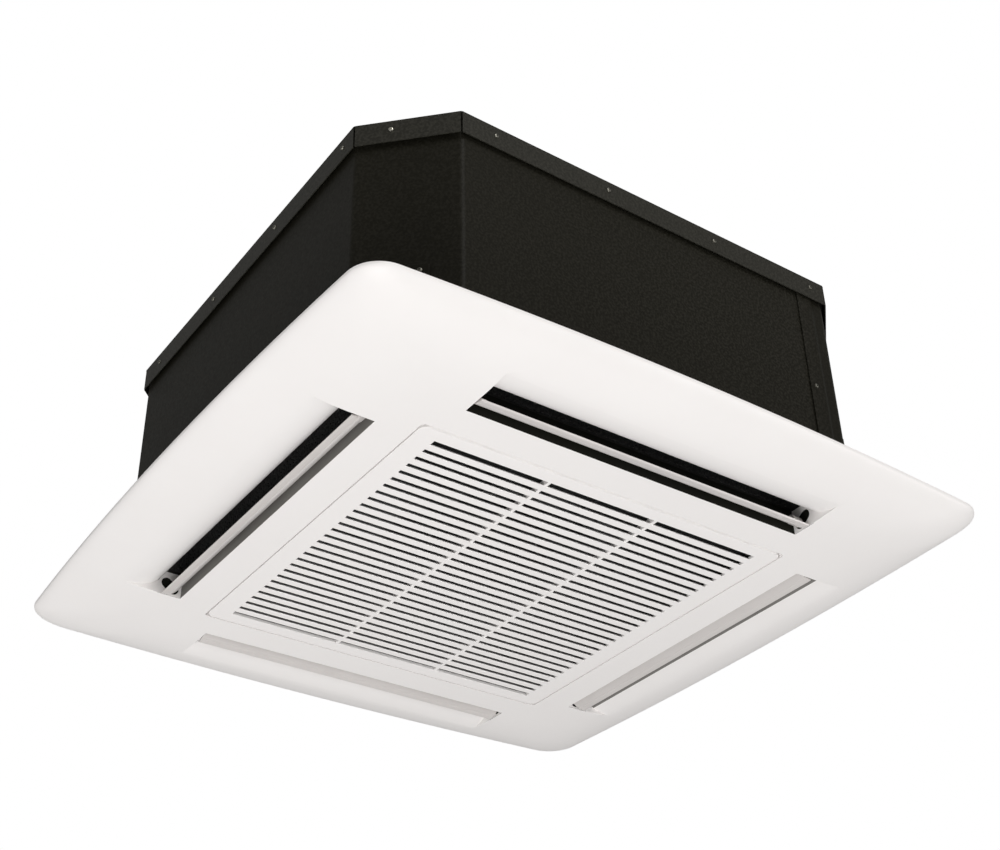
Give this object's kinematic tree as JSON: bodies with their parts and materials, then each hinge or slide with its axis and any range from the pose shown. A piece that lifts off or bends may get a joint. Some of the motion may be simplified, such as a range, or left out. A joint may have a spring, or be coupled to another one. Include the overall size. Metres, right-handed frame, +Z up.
{
  "type": "ceiling cassette air conditioner",
  "caption": "Ceiling cassette air conditioner: black eight-sided casing with a white square fascia, side outlets with tilting vanes and a hinged slatted intake grille.",
  "frame": {"origin": "centre of the fascia on the ceiling plane, level with the back of its rim", "axes": "+Z up into the ceiling, +X to the side with the grille's hinge, +Y to the side with the pipes"},
  "size_m": [0.7, 0.7, 0.2801],
  "materials": {
    "fascia_white": "warm white moulded plastic with a satin sheen",
    "grille_white": "warm white moulded plastic with a satin sheen",
    "filter_net": "dark woven filter net in a plastic frame",
    "vane_plastic": "light warm grey plastic",
    "black_sheet": "near black coated sheet steel",
    "dark_foam": "closed cell black foam",
    "pan_foam": "black expanded bead foam",
    "float_foam": "pale grey moulded float",
    "grey_plastic": "mid grey plastic",
    "fan_plastic": "dark grey glass filled plastic",
    "fin_aluminium": "thin plain aluminium fins",
    "copper": "drawn copper tube",
    "brass": "turned brass",
    "zinc_steel": "zinc coated steel",
    "rubber": "black rubber",
    "terminal_cream": "cream moulded plastic",
    "board_green": "green coated board"
  },
  "bodies": {
    "casing": {"fascia_panel": "fascia_white", "panel_foam_seal": "dark_foam", "grille_clip_front": "zinc_steel", "grille_clip_back": "zinc_steel", "vane_motor_right": "zinc_steel", "vane_motor_back": "zinc_steel", "vane_motor_left": "zinc_steel", "vane_motor_front": "zinc_steel", "casing_wrap_front": "black_sheet", "casing_wrap_back": "black_sheet", "top_cover": "black_sheet", "wall_insulation": "dark_foam", "top_insulation": "dark_foam", "drain_pan": "pan_foam", "bell_mouth": "grey_plastic", "coil_fin_pack": "fin_aluminium", "coil_end_plate_back": "copper", "coil_end_plate_left": "copper", "fan_motor": "zinc_steel", "motor_bracket": "zinc_steel", "motor_isolator_1": "rubber", "motor_isolator_2": "rubber", "motor_isolator_3": "rubber", "gas_pipe": "copper", "liquid_pipe": "copper", "gas_flare_nut": "brass", "liquid_flare_nut": "brass", "pipe_plate": "black_sheet", "drain_spout": "grey_plastic", "drain_pump": "grey_plastic", "pump_bracket": "zinc_steel", "drain_hose": "rubber", "float_stem": "grey_plastic", "cable_grommet": "rubber", "control_box": "zinc_steel", "control_box_lid": "zinc_steel", "terminal_block": "terminal_cream", "circuit_board": "board_green", "room_thermistor": "rubber", "hanger_bracket_front_right": "black_sheet", "hanger_bracket_back_right": "black_sheet", "hanger_bracket_back_left": "black_sheet", "hanger_bracket_front_left": "black_sheet"},
    "fan": {"turbo_fan": "fan_plastic", "motor_shaft": "zinc_steel", "fan_nut": "brass"},
    "grille": {"intake_grille": "grille_white", "air_filter": "filter_net"},
    "vane_right": {"air_vane_right": "vane_plastic", "vane_shaft_right": "zinc_steel"},
    "vane_back": {"air_vane_back": "vane_plastic", "vane_shaft_back": "zinc_steel"},
    "vane_left": {"air_vane_left": "vane_plastic", "vane_shaft_left": "zinc_steel"},
    "vane_front": {"air_vane_front": "vane_plastic", "vane_shaft_front": "zinc_steel"},
    "float_ring": {"float": "float_foam"}
  },
  "joints": [
    {"name": "fan_spin", "type": "hinge", "parent": "casing", "child": "fan", "pos_m": [0, 0, 0.12], "axis": [0, 0, 1], "continuous": true},
    {"name": "grille_swing", "type": "hinge", "parent": "casing", "child": "grille", "pos_m": [0.1995, 0, -0.0218], "axis": [0, -1, 0], "range_deg": [0, 90]},
    {"name": "vane_right_tilt", "type": "hinge", "parent": "casing", "child": "vane_right", "pos_m": [0.247, 0, -0.017], "axis": [0, 1, 0], "range_deg": [-30, 30]},
    {"name": "vane_back_tilt", "type": "hinge", "parent": "casing", "child": "vane_back", "pos_m": [0, 0.247, -0.017], "axis": [-1, 0, 0], "range_deg": [-30, 30]},
    {"name": "vane_left_tilt", "type": "hinge", "parent": "casing", "child": "vane_left", "pos_m": [-0.247, 0, -0.017], "axis": [0, -1, 0], "range_deg": [-30, 30]},
    {"name": "vane_front_tilt", "type": "hinge", "parent": "casing", "child": "vane_front", "pos_m": [0, -0.247, -0.017], "axis": [1, 0, 0], "range_deg": [-30, 30]},
    {"name": "float_rise", "type": "slide", "parent": "casing", "child": "float_ring", "axis": [0, 0, 1], "range_m": [0, 0.015]}
  ]
}
